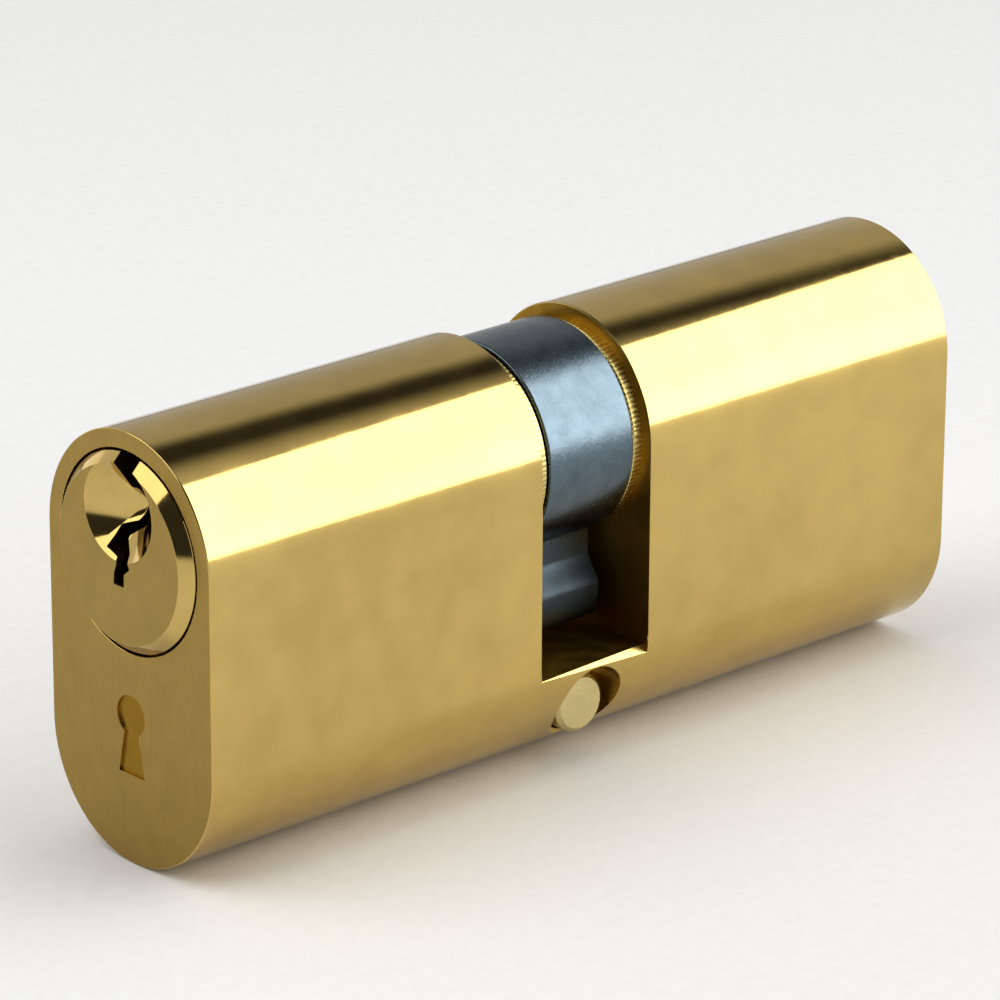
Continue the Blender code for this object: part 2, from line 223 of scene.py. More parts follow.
class Nodes:
    """Short forms for building a material's nodes."""

    def __init__(self, name):
        self.mat = bpy.data.materials.new(name)
        self.mat.use_nodes = True
        self.tree = self.mat.node_tree
        self.shader = self.tree.nodes["Principled BSDF"]
        self.coord = self.tree.nodes.new("ShaderNodeTexCoord")

    def add(self, kind, **values):
        node = self.tree.nodes.new(kind)
        for key, value in values.items():
            if key in node.inputs:
                node.inputs[key].default_value = value
            else:
                setattr(node, key, value)
        return node

    def link(self, a, b):
        self.tree.links.new(a, b)

    def mapped(self, scale, rotation=(0.0, 0.0, 0.0)):
        node = self.add("ShaderNodeMapping")
        node.inputs["Scale"].default_value = scale
        node.inputs["Rotation"].default_value = rotation
        self.link(self.coord.outputs["Object"], node.inputs["Vector"])
        return node.outputs["Vector"]

    def noise(self, scale, detail=4.0, rough=0.55, stretch=(1.0, 1.0, 1.0), rotation=(0.0, 0.0, 0.0), distortion=0.0):
        node = self.add("ShaderNodeTexNoise", Scale=scale, Detail=detail, Roughness=rough, Distortion=distortion)
        self.link(self.mapped(stretch, rotation), node.inputs["Vector"])
        return node.outputs["Fac"]

    def span(self, value, low, high, to_low, to_high):
        node = self.add("ShaderNodeMapRange")
        for key, number in (("From Min", low), ("From Max", high), ("To Min", to_low), ("To Max", to_high)):
            node.inputs[key].default_value = number
        self.link(value, node.inputs["Value"])
        return node.outputs["Result"]

    def maths(self, operation, a, b):
        node = self.add("ShaderNodeMath", operation=operation)
        for socket, value in zip(node.inputs, (a, b)):
            if isinstance(value, (int, float)):
                socket.default_value = value
            else:
                self.link(value, socket)
        return node.outputs["Value"]

    def tint(self, value, dark, light, low=0.3, high=0.7):
        node = self.add("ShaderNodeValToRGB")
        ramp = node.color_ramp
        ramp.elements[0].position = low
        ramp.elements[0].color = (*dark, 1.0)
        ramp.elements[1].position = high
        ramp.elements[1].color = (*light, 1.0)
        self.link(value, node.inputs["Fac"])
        return node.outputs["Color"]

    def bump(self, height, distance, strength=1.0, before=None):
        node = self.add("ShaderNodeBump", Strength=strength, Distance=distance)
        self.link(height, node.inputs["Height"])
        if before is not None:
            self.link(before, node.inputs["Normal"])
        return node.outputs["Normal"]

    def done(self, colour, roughness, normal, metallic=1.0):
        self.link(colour, self.shader.inputs["Base Color"])
        self.link(roughness, self.shader.inputs["Roughness"])
        self.link(normal, self.shader.inputs["Normal"])
        self.shader.inputs["Metallic"].default_value = metallic
        return self.mat


BRASS = (0.575, 0.408, 0.129)


def shade(colour, factor):
    return tuple(c * factor for c in colour)


def polished_brass():
    """Buffed sides: a soft mirror with faint mottling and long, shallow waves."""
    n = Nodes("brass_polished")
    blotch = n.noise(330.0, 3.0, 0.5, (1.0, 1.0, 1.0))
    wave = n.noise(70.0, 2.0, 0.5, (1.0, 1.0, 0.5), (0.0, 0.5, 0.0))
    fine = n.noise(5200.0, 3.0, 0.6, (0.35, 1.0, 1.0))
    cloud = n.noise(52.0, 2.0, 0.5, (1.0, 1.0, 0.8))
    mix = n.maths("ADD", n.maths("MULTIPLY", blotch, 0.45), n.maths("MULTIPLY", cloud, 0.55))
    colour = n.tint(mix, shade(BRASS, 0.89), shade(BRASS, 1.07), 0.36, 0.64)
    rough = n.maths(
        "ADD",
        n.span(blotch, 0.3, 0.7, 0.060, 0.095),
        n.span(fine, 0.35, 0.7, 0.0, 0.02),
    )
    low = n.bump(wave, 0.00008, 0.35)
    mid = n.bump(blotch, 0.000012, 0.35, low)
    return n.done(colour, rough, n.bump(fine, 0.0000012, 0.5, mid))


def linished_shaded_brass():
    """End faces: belt-finished, with fine lines that run nearly upright; their darker, browner colour is painted shade,
    the lines and roughness the real finish.
    """
    n = Nodes("brass_linished_painted_shade")
    lines = n.noise(1.0, 3.0, 0.6, (500.0, 9000.0, 420.0), (0.12, 0.0, 0.0))
    broad = n.noise(1.0, 2.0, 0.5, (200.0, 2300.0, 180.0), (0.12, 0.0, 0.0))
    blotch = n.noise(420.0, 3.0, 0.5)
    passes = n.add("ShaderNodeTexWave", Scale=1100.0, Distortion=2.5, Detail=2.0, bands_direction="Y")
    passes.inputs["Detail Scale"].default_value = 0.6
    n.link(n.mapped((0.4, 1.0, 1.0), (0.22, 0.0, 0.0)), passes.inputs["Vector"])
    # painted shade: the end faces' brass is darker and browner than the sides
    shaded_warm = (BRASS[0] * 0.91, BRASS[1] * 0.84, BRASS[2] * 0.63)
    colour = n.tint(n.maths("ADD", n.maths("MULTIPLY", lines, 0.6), n.maths("MULTIPLY", blotch, 0.4)),
                    shade(shaded_warm, 0.60), shade(shaded_warm, 0.76), 0.32, 0.68)
    rough = n.span(lines, 0.3, 0.7, 0.29, 0.40)
    normal = n.bump(passes.outputs["Fac"], 0.000004, 0.5, n.bump(broad, 0.000005, 0.5))
    return n.done(colour, rough, n.bump(lines, 0.0000030, 0.8, normal))


def milled_brass():
    """Walls and floor of the cam cut-out, and the bores: cut, not polished."""
    n = Nodes("brass_milled")
    marks = n.noise(1.0, 3.0, 0.6, (700.0, 900.0, 5200.0), (0.0, 0.15, 0.0))
    blotch = n.noise(600.0, 3.0, 0.5)
    colour = n.tint(blotch, shade(BRASS, 0.80), shade(BRASS, 0.95))
    rough = n.span(marks, 0.3, 0.7, 0.20, 0.32)
    return n.done(colour, rough, n.bump(marks, 0.000005, 0.6))


def pocket_painted_shade_brass():
    """The cut-out's walls and floor: milled and unpolished, their dark brown colour painted shade for the recess."""
    n = Nodes("brass_pocket_painted_shade")
    marks = n.noise(1.0, 3.0, 0.6, (700.0, 900.0, 5200.0), (0.0, 0.15, 0.0))
    blotch = n.noise(500.0, 3.0, 0.5)
    colour = n.tint(blotch, (0.29, 0.165, 0.028), (0.38, 0.225, 0.043))
    rough = n.span(marks, 0.3, 0.7, 0.32, 0.46)
    n.shader.inputs["Specular Tint"].default_value = (0.52, 0.38, 0.11, 1.0)
    return n.done(colour, rough, n.bump(marks, 0.000004, 0.5))


def guide_brass():
    """The polished cone that leads the key in."""
    n = Nodes("brass_guide")
    fine = n.noise(3000.0, 3.0, 0.6)
    blotch = n.noise(600.0, 3.0, 0.5)
    colour = n.tint(blotch, shade(BRASS, 0.93), shade(BRASS, 1.05))
    rough = n.span(fine, 0.3, 0.7, 0.06, 0.11)
    return n.done(colour, rough, n.bump(fine, 0.000001, 0.5))


def boss_brass():
    """Rings beside the cam, left with a cutter's ticks across them."""
    n = Nodes("brass_ridged")
    place_ring = n.mapped((1.0, 1.0, 1.0))
    parts = n.add("ShaderNodeSeparateXYZ")
    n.link(place_ring, parts.inputs["Vector"])
    lifted = n.maths("SUBTRACT", parts.outputs["Z"], PLUG_Z * MM)
    angle = n.maths("ARCTAN2", lifted, parts.outputs["Y"])
    wander = n.noise(900.0, 2.0, 0.5)
    tick = n.maths("SINE", n.maths("ADD", n.maths("MULTIPLY", angle, 132.0), n.maths("MULTIPLY", wander, 9.0)), 0.0)
    height = n.maths("ADD", n.maths("MULTIPLY", tick, 0.35), n.noise(2600.0, 3.0, 0.6))
    colour = n.tint(height, (0.42, 0.33, 0.10), (0.66, 0.54, 0.22), 0.15, 0.85)
    rough = n.span(height, 0.1, 0.9, 0.22, 0.36)
    n.shader.inputs["Specular Tint"].default_value = (0.75, 0.60, 0.25, 1.0)
    return n.done(colour, rough, n.bump(height, 0.000018, 0.7))


def lip_brass():
    """The broken edge of the cut-out's floor, filed by hand."""
    n = Nodes("brass_lip")
    marks = n.noise(1.0, 3.0, 0.6, (4200.0, 800.0, 800.0))
    blotch = n.noise(500.0, 3.0, 0.5)
    colour = n.tint(blotch, shade(BRASS, 1.05), shade(BRASS, 1.22))
    rough = n.span(marks, 0.3, 0.7, 0.18, 0.30)
    return n.done(colour, rough, n.bump(marks, 0.000004, 0.6))


def turned_brass(name, base, low, high, line=4200.0):
    """Lathe-turned brass with faint rings about the piece's axis."""
    n = Nodes(name)
    blotch = n.noise(520.0, 3.0, 0.5)
    fine = n.noise(line, 3.0, 0.6)
    colour = n.tint(blotch, shade(base, 0.93), shade(base, 1.04))
    rough = n.span(fine, 0.3, 0.7, low, high)
    return n.done(colour, rough, n.bump(fine, 0.0000022, 0.6))


def sintered_steel():
    """The cam: dense sintered steel, dark blue-grey with fine pits."""
    n = Nodes("steel_sintered")
    grain = n.noise(5200.0, 4.0, 0.65)
    blotch = n.noise(700.0, 4.0, 0.6)
    pits = n.add("ShaderNodeTexVoronoi", Scale=2300.0)
    n.link(n.mapped((1.0, 1.0, 1.0)), pits.inputs["Vector"])
    pit = n.span(pits.outputs["Distance"], 0.0, 0.32, 0.0, 1.0)
    mix = n.maths("ADD", n.maths("MULTIPLY", blotch, 0.6), n.maths("MULTIPLY", grain, 0.4))
    height = n.add("ShaderNodeSeparateXYZ")
    n.link(n.mapped((1.0, 1.0, 1.0)), height.inputs["Vector"])
    painted_light_height = n.span(height.outputs["Z"], -0.0070, 0.0042, 0.0, 1.0)
    shades = n.add("ShaderNodeMix", data_type="RGBA", blend_type="MULTIPLY")
    shades.inputs[0].default_value = 1.0
    n.link(n.tint(mix, (0.080, 0.110, 0.130), (0.120, 0.160, 0.186), 0.35, 0.65), shades.inputs[6])
    # painted shade and highlight by height: darker in the corner under the ring and at the tip of the nose, a painted
    # highlight band across the middle of the nose, and lighter towards the top of the ring
    painted_light_ramp = n.add("ShaderNodeValToRGB")
    ramp = painted_light_ramp.color_ramp
    for position, dark in ((0.0, (0.16, 0.14, 0.11)), (0.13, (0.22, 0.20, 0.17)), (0.27, (0.62, 0.62, 0.60)), (0.40, (0.52, 0.51, 0.49)),
                           (0.54, (0.16, 0.14, 0.12)), (0.62, (0.34, 0.29, 0.23)), (0.78, (0.68, 0.61, 0.50)), (1.0, (0.97, 0.97, 0.98))):
        stop = ramp.elements[0] if position == 0.0 else ramp.elements[1] if position == 1.0 else ramp.elements.new(position)
        stop.position = position
        stop.color = (*dark, 1.0)
    n.link(painted_light_height, painted_light_ramp.inputs["Fac"])
    n.link(painted_light_ramp.outputs["Color"], shades.inputs[7])
    colour = shades.outputs[2]
    rough = n.maths("ADD", n.span(grain, 0.3, 0.7, 0.19, 0.29), n.span(height.outputs["Z"], -0.0016, 0.0004, 0.17, 0.0))
    normal = n.bump(grain, 0.000012, 0.7, n.bump(pit, 0.000008, 0.3, n.bump(blotch, 0.00003, 0.4)))
    return n.done(colour, rough, normal)


def drawn_steel(name, base):
    """Clips, springs and the coupler: plain steel, lightly drawn."""
    n = Nodes(name)
    fine = n.noise(3600.0, 3.0, 0.6)
    blotch = n.noise(600.0, 3.0, 0.5)
    colour = n.tint(blotch, shade(base, 0.85), shade(base, 1.1))
    rough = n.span(fine, 0.3, 0.7, 0.24, 0.38)
    return n.done(colour, rough, n.bump(fine, 0.000004, 0.6))


def floor_paper():
    """Matt studio paper."""
    n = Nodes("studio_paper")
    grain = n.noise(900.0, 3.0, 0.5)
    colour = n.tint(grain, (0.80, 0.80, 0.80), (0.83, 0.83, 0.83))
    rough = n.span(grain, 0.3, 0.7, 0.85, 0.95)
    n.shader.inputs["Specular IOR Level"].default_value = 0.1
    return n.done(colour, rough, n.bump(grain, 0.00001, 0.3), 0.0)


M_POLISHED = polished_brass()
M_LINISHED_SHADED = linished_shaded_brass()
M_MILLED = milled_brass()
M_BOSS = boss_brass()
M_POCKET_PAINTED_SHADE = pocket_painted_shade_brass()
M_LIP = lip_brass()
M_GUIDE = guide_brass()
# painted shade: the plug's brass is darker and browner than the body's sides, like the end faces
M_PLUG_SHADED = turned_brass("brass_plug_painted_shade", (BRASS[0] * 0.60, BRASS[1] * 0.57, BRASS[2] * 0.45), 0.19, 0.28)
M_PIN = turned_brass("brass_pale", (0.60, 0.505, 0.245), 0.26, 0.36)
M_KEY_PIN = turned_brass("brass_key_pin", (0.66, 0.46, 0.17), 0.18, 0.28)
M_DRIVER = turned_brass("brass_driver_pin", (0.60, 0.42, 0.15), 0.2, 0.3)
M_CAP = turned_brass("brass_cap", (0.56, 0.38, 0.13), 0.26, 0.4)
M_CAM = sintered_steel()
M_CLIP = drawn_steel("steel_clip", (0.22, 0.23, 0.25))
M_SPRING = drawn_steel("steel_spring", (0.5, 0.49, 0.46))
M_COUPLER = drawn_steel("steel_coupler", (0.38, 0.39, 0.41))


# ---------------------------------------------------------------- body

ARC = 64


def oval(inset=0.0):
    radius = OVAL_R - inset
    points = []
    for side, start in ((1, 0.0), (-1, math.pi)):
        for i in range(ARC + 1):
            a = start + math.pi * i / ARC
            points.append((radius * math.cos(a), side * OVAL_C + radius * math.sin(a)))
    return points


def rounded_ends(low, high, edge, outline, steps=4):
    """A straight length of an outline, drawn in round each end edge."""
    sections = []
    for i in range(steps + 1):
        a = math.pi / 2 * (1 - i / steps)
        sections.append((low + edge * (1 - math.sin(a)), outline(edge * (1 - math.cos(a)))))
    for i in range(steps + 1):
        a = math.pi / 2 * i / steps
        sections.append((high - edge * (1 - math.sin(a)), outline(edge * (1 - math.cos(a)))))
    return loft(sections)


def cutout_outline(near, far):
    """The cam cut-out's section. Its floor's two edges are chamfered by the given widths."""
    width = math.sqrt(OVAL_R**2 - (FLOOR_Z + OVAL_C) ** 2)
    slope = 0.87
    y_near, y_far = -width + 1.15 * near, width - 1.15 * far
    return [
        (-12.0, FLOOR_Z - slope * (12.0 + y_near)), (y_near, FLOOR_Z), (y_far, FLOOR_Z),
        (12.0, FLOOR_Z - slope * (12.0 - y_far)), (12.0, 20.0), (-12.0, 20.0),
    ]


def bevel_edges(ob, test, width, segments=2):
    """Breaks the sharp edges whose middle and neighbouring faces pass the test."""
    bm = bmesh.new()
    bm.from_mesh(ob.data)
    bmesh.ops.remove_doubles(bm, verts=bm.verts, dist=1e-4)
    bm.normal_update()
    chosen = [
        e for e in bm.edges
        if len(e.link_faces) == 2
        and e.link_faces[0].normal.angle(e.link_faces[1].normal, 0.0) > 0.6
        and test((e.verts[0].co + e.verts[1].co) / 2)
    ]
    bmesh.ops.bevel(bm, geom=chosen, offset=width, offset_type="OFFSET", segments=segments, profile=0.5, affect="EDGES", clamp_overlap=False)
    bm.to_mesh(ob.data)
    bm.free()


def wall_gap(x):
    """Distance along the body from the nearer wall of the cut-out."""
    return min(abs(x - WINDOW_LOW), abs(x - WINDOW_HIGH))


def make_body():
    body = place("body_shell", rounded_ends(-HALF, HALF, 0.11, oval))
    # the chamfer on the cut-out's lower edge widens towards one side
    combine(body, loft([(WINDOW_LOW, cutout_outline(0.03, 0.5)), (WINDOW_HIGH, cutout_outline(0.5, 0.03))]))
    bevel_edges(
        body,
        lambda c: wall_gap(c.x) < 0.01 and c.z > -7.04
        and (abs(abs(c.y) - OVAL_R) < 0.01 or math.hypot(c.y, c.z - OVAL_C) > OVAL_R - 0.05),
        0.10,
    )
    for side in (-1, 1):
        ring = [(side * 6.2, BOSS_R), (side * (BOSS_FACE + 0.15), BOSS_R - 0.03), (side * BOSS_FACE, BOSS_R - 0.15)]
        if side > 0:
            ring.reverse()
        combine(body, turned(ring, 128, "X", (0, 0, PLUG_Z)), "UNION")
    sink = HALF + HEAD_PROUD - HEAD_LENGTH - 0.1
    r = HEAD_R + 0.17
    bore = [
        (-HALF - 2.0, r + 0.02), (-HALF + 0.005, r + 0.02), (-HALF + 0.025, r), (-sink, r), (-sink, BORE_R), (-BOSS_FACE - 0.10, BORE_R),
        (-BOSS_FACE + 0.0, BORE_R + 0.10), (-BOSS_FACE + 0.3, BORE_R + 0.10),
        (BOSS_FACE - 0.3, BORE_R + 0.10), (BOSS_FACE - 0.0, BORE_R + 0.10), (BOSS_FACE + 0.10, BORE_R),
        (sink, BORE_R), (sink, r), (HALF - 0.025, r), (HALF - 0.005, r + 0.02), (HALF + 2.0, r + 0.02),
    ]
    combine(body, turned(bore, 128, "X", (0, 0, PLUG_Z)))
    for side in (-1, 1):
        for x in STACK_X:
            combine(body, turned([(-17.0, 1.75), (-13.75, 1.75), (-13.75, 1.5), (2.0, 1.5)], 40, "Z", (side * x, 0, 0), 0.04))
    combine(body, turned([(-10.0, CROSS_HOLE), (10.0, CROSS_HOLE)], 64, "Y", (0, 0, CROSS_Z)))
    for side in (-1, 1):
        near, far = sorted((side * SINK_Y, side * 11.0))
        combine(body, turned([(near, SINK_R), (far, SINK_R)], 80, "Y", (0, 0, SINK_Z)))

    # a plain stamped keyhole
    depth = 0.2
    groove = place("mark", turned([(-HALF - 1.0, 1.55), (-HALF + depth, 1.45)], 64, "X", (0, 0, -4.7)))
    stem = [(0.55, -5.0), (-0.55, -5.0), (-1.35, -9.0), (1.35, -9.0)]
    combine(groove, loft([(-HALF - 1.0, stem), (-HALF + depth, stem)]), "UNION")
    cutter = bmesh.new()
    cutter.from_mesh(groove.data)
    spare = groove.data
    bpy.data.objects.remove(groove, do_unlink=True)
    bpy.data.meshes.remove(spare)
    combine(body, cutter)

    def pick(c, n):
        radial = math.hypot(c.y, c.z - PLUG_Z)
        # index 4, the pocket material, paints shade on the cut-out's walls and floor and in the stamped keyhole's
        # recess
        if wall_gap(c.x) < 0.02 and abs(n.x) > 0.99:
            return 4
        if abs(c.x) > HALF - 0.4 and abs(c.x) < HALF - 0.02 and abs(n.x) > 0.9 and c.z < -2.0:
            return 4
        # index 1 carries the end faces' painted shade in its darker colour
        if abs(n.x) > 0.9 and abs(c.x) > HALF - 0.05:
            return 1
        if abs(c.x) > HALF - 0.2 and abs(n.x) > 0.9:
            return 1
        if radial < 7.3 and abs(c.x) < HALF - 0.02 and c.z > -0.4:
            if abs(c.x) < 5.2 and radial > 6.75 and abs(n.x) > 0.5:
                return 3
            return 2
        if WINDOW_LOW + 0.03 < c.x < WINDOW_HIGH - 0.03 and abs(radial - BOSS_R) < 0.3 and c.z > FLOOR_Z + 0.2:
            return 3
        inside = WINDOW_LOW - 0.03 < c.x < WINDOW_HIGH + 0.03
        if inside and abs(n.x) > 0.95:
            return 4
        if inside and n.z > 0.95 and abs(c.z - FLOOR_Z) < 0.1:
            return 4
        if inside and n.z > 0.4 and abs(c.z - FLOOR_Z) < 0.6:
            return 5
        if math.hypot(c.x, c.z - SINK_Z) < 3.05 and c.z < FLOOR_Z - 0.2 and abs(c.y) < 8.2 and (abs(n.y) > 0.98 or math.hypot(c.y, c.z + OVAL_C) < OVAL_R - 0.1):
            return 2
        if c.z < 1.0 and abs(c.x) > 10 and math.hypot(c.y, c.z + OVAL_C) < OVAL_R - 0.12 and abs(c.y) < 1.9:
            return 2
        return 0

    finish_piece(body, "body", ["cylinder_body"], [M_POLISHED, M_LINISHED_SHADED, M_MILLED, M_BOSS, M_POCKET_PAINTED_SHADE, M_LIP], pick=pick, sharp=33.0)


# ---------------------------------------------------------------- plugs

def keyway():
    """The key's section, relative to the plug axis, its corners slightly broken."""
    left = [
        (NOTCH_LEFT, 7.9), (NOTCH_LEFT, NOTCH_FLOOR), (-0.25, NOTCH_FLOOR), (-0.25, 2.44), (0.09, 2.01), (0.60, 1.83),
        (1.15, 1.63), (1.26, 0.97), (1.50, 0.17), (1.05, 0.02), (0.31, -0.23), (0.25, -0.67),
        (0.50, -1.33), (0.58, KEYWAY_FLOOR),
    ]
    right = [
        (-0.50, KEYWAY_FLOOR), (-0.55, -1.20), (-1.13, -0.75), (-0.70, 0.19), (-0.16, 0.62), (0.14, 0.91),
        (0.11, 1.14), (-0.53, 1.64), (-1.00, 1.91), (-1.44, 2.55), (-1.44, NOTCH_FLOOR),
        (NOTCH_RIGHT, NOTCH_FLOOR), (NOTCH_RIGHT, 7.9),
    ]
    points = left + right
    out = []
    for i, here in enumerate(points):
        b, h, a = Vector(points[i - 1]), Vector(here), Vector(points[(i + 1) % len(points)])
        u, v = b - h, a - h
        if min(u.length, v.length) < 0.2 or h.y > 7:
            out.append(here)
            continue
        r = min(0.07, 0.3 * u.length, 0.3 * v.length)
        p, q = h + u.normalized() * r, h + v.normalized() * r
        for t in (0.0, 0.5, 1.0):
            point = p * (1 - t) ** 2 + h * 2 * t * (1 - t) + q * t**2
            out.append((point.x, point.y))
    return out


def make_plug(side, flip):
    face = -(HALF + HEAD_PROUD)
    profile = [
        (face, HEAD_R - HEAD_CHAMFER), (face + HEAD_CHAMFER, HEAD_R), (face + HEAD_LENGTH, HEAD_R),
        (face + HEAD_LENGTH, BARREL_R), (-GROOVE_OUT, BARREL_R), (-GROOVE_OUT, GROOVE_R),
        (-GROOVE_IN, GROOVE_R), (-GROOVE_IN, TAIL_R), (-TAIL_END - 0.3, TAIL_R), (-TAIL_END, TAIL_R - 0.3),
    ]
    shaped = [(face, HEAD_R - HEAD_CHAMFER - 0.07)] + rounded(
        [(face, HEAD_R - HEAD_CHAMFER - 0.07)] + profile[:4], 0.05
    )[1:-1] + profile[3:]
    plug = place(side + "_plug_core", turned(shaped, 128))
    combine(plug, loft([(face - 2.0, keyway()), (0.0, keyway())]))
    reach = 1.5
    combine(plug, turned([(face - reach, GUIDE_R * (1 + reach / GUIDE_DEPTH)), (face + GUIDE_DEPTH, 0.0)], 96, "X", (0, 0, GUIDE_Z)))
    combine(plug, block((-TAIL_END - SLOT_DEPTH, -SLOT_HALF, -8.0), (0.0, SLOT_HALF, 8.0)))
    for x in STACK_X:
        combine(plug, turned([(-9.0, 1.45), (1.0, 1.45)], 40, "Z", (-x, 0, 0)))

    def pick(c, n):
        depth = abs(c.x) - (HALF + HEAD_PROUD)
        radial = math.hypot(c.y, c.z - PLUG_Z - GUIDE_Z)
        if -GUIDE_DEPTH < depth < -0.01 and abs(radial - GUIDE_R * (1 + depth / GUIDE_DEPTH)) < 0.12 and abs(n.x) > 0.4:
            return 1
        if abs(c.x) > HALF + HEAD_PROUD - HEAD_CHAMFER - 0.02 and 0.2 < abs(n.x) < 0.95:
            return 1
        return 0

    finish_piece(plug, side + "_plug_turning", [side + "_plug"], [M_PLUG_SHADED, M_GUIDE], flip=flip, sharp=25.0, lift=PLUG_Z, pick=pick)


# ---------------------------------------------------------------- cam

def cam_outline(inset=0.0):
    """Ring and nose, drawn inwards by inset for the rounded edge."""
    ring, tip = CAM_R - inset, CAM_TIP_R - inset
    neck = CAM_NECK - inset
    points = []
    start = math.atan2(-math.sqrt(ring**2 - neck**2), neck)
    sweep = 2 * math.pi - 2 * (math.pi / 2 + start)
    for i in range(97):
        a = start + sweep * i / 96
        points.append((ring * math.cos(a), ring * math.sin(a)))
    half_tip = CAM_TIP - inset
    flank = []
    for i in range(17):
        t = i / 16
        flank.append((neck + (half_tip - neck) * t * t * (3 - 2 * t), CAM_STEP_TOP + (CAM_STEP_END - CAM_STEP_TOP) * t))
    # the flank turns back in, in one round, to the tip
    spread = math.asin((half_tip - 0.75) / tip)
    corner = (tip * math.sin(spread), -tip * math.cos(spread))
    for i in range(1, 11):
        t = i / 11
        a, b, c = (1 - t) ** 2, 2 * t * (1 - t), t * t
        flank.append((a * half_tip + b * (half_tip + 0.02) + c * corner[0], a * CAM_STEP_END + b * (corner[1] + 0.12) + c * corner[1]))
    points += [(-y, z) for y, z in flank]
    for i in range(25):
        a = -math.pi / 2 - spread + 2 * spread * i / 24
        points.append((tip * math.cos(a), tip * math.sin(a)))
    points += list(reversed(flank))
    return points


def make_cam():
    cam = place("cam_ring", rounded_ends(-CAM_HALF, CAM_HALF, 0.16, cam_outline))
    combine(cam, turned([
        (-6.0, CAM_RECESS_R), (-CAM_RECESS_FLOOR, CAM_RECESS_R), (-CAM_RECESS_FLOOR, CAM_BORE + 0.1),
        (-CAM_RECESS_FLOOR + 0.1, CAM_BORE), (CAM_RECESS_FLOOR - 0.1, CAM_BORE), (CAM_RECESS_FLOOR, CAM_BORE + 0.1),
        (CAM_RECESS_FLOOR, CAM_RECESS_R), (6.0, CAM_RECESS_R),
    ], 128))
    combine(cam, block((-3.6, -SLOT_HALF, -CAM_SLOT_TOP), (3.6, SLOT_HALF, CAM_SLOT_TOP)))
    finish_piece(cam, "cam_turning", ["cam"], [M_CAM], sharp=35.0, lift=PLUG_Z)


# ---------------------------------------------------------------- small pieces

def make_cross_pin():
    pin = place("bridge_pin", turned(
        [(-CROSS_HALF, CROSS_R - 0.34)] + rounded(
            [(-CROSS_HALF, CROSS_R - 0.34), (-CROSS_HALF + 0.30, CROSS_R), (CROSS_HALF - 0.30, CROSS_R), (CROSS_HALF, CROSS_R - 0.34)], 0.08
        )[1:-1] + [(CROSS_HALF, CROSS_R - 0.34)], 80, "Y", (0.10, 0, CROSS_Z - 0.12)))
    finish_piece(pin, "body", ["cross_pin"], [M_PIN])


def make_coupler():
    w, h = 1.45, 6.75
    def outline(inset):
        ww, hh, c = w - inset, h - inset, 0.3
        return [(ww, -hh + c), (ww, hh - c), (ww - c, hh), (-ww + c, hh), (-ww, hh - c), (-ww, -hh + c), (-ww + c, -hh), (ww - c, -hh)]
    lo, hi, e = -2.9, 0.1, 0.2
    coupler = place("coupler_blade", loft([
        (lo, outline(e)), (lo + e * 0.3, outline(e * 0.3)), (lo + e, outline(0)),
        (hi - e, outline(0)), (hi - e * 0.3, outline(e * 0.3)), (hi, outline(e))]))
    finish_piece(coupler, "coupler_sliding", ["coupler"], [M_COUPLER], sharp=50.0, lift=PLUG_Z)


def make_clip(side, flip):
    half = math.radians(32.0)
    first, last = math.pi / 2 + half, math.pi / 2 + 2 * math.pi - half
    def outline(inset):
        angles = [first + (last - first) * i / 72 for i in range(73)]
        o, n = 7.0 - inset, 5.8 + inset
        return [(o * math.cos(a), o * math.sin(a)) for a in angles] + [(n * math.cos(a), n * math.sin(a)) for a in reversed(angles)]
    clip = place(side + "_clip", loft([
        (-3.93, outline(0.06)), (-3.87, outline(0.0)), (-3.19, outline(0.0)), (-3.13, outline(0.06))]))
    finish_piece(clip, side + "_plug_turning", [side + "_circlip"], [M_CLIP], flip=flip, lift=PLUG_Z)


def coil(x, low, high, radius, wire, turns, per_turn=28, sides=10):
    count = per_turn * turns
    bm = bmesh.new()
    rings = []
    for i in range(count + 1):
        t = i / count
        a = 2 * math.pi * turns * t
        outward = Vector((math.cos(a), math.sin(a), 0.0))
        along = Vector((-math.sin(a) * radius, math.cos(a) * radius, (high - low) / (2 * math.pi * turns))).normalized()
        up = along.cross(outward).normalized()
        centre = Vector((x, 0.0, low + (high - low) * t)) + radius * outward
        rings.append([bm.verts.new(centre + wire * (outward * math.cos(b) + up * math.sin(b)))
                      for b in (2 * math.pi * k / sides for k in range(sides))])
    for a, b in zip(rings, rings[1:]):
        for k in range(sides):
            n = (k + 1) % sides
            bm.faces.new((a[k], a[n], b[n], b[k]))
    bm.faces.new(rings[0])
    bm.faces.new(rings[-1])
    bmesh.ops.recalc_face_normals(bm, faces=bm.faces)
    return bm


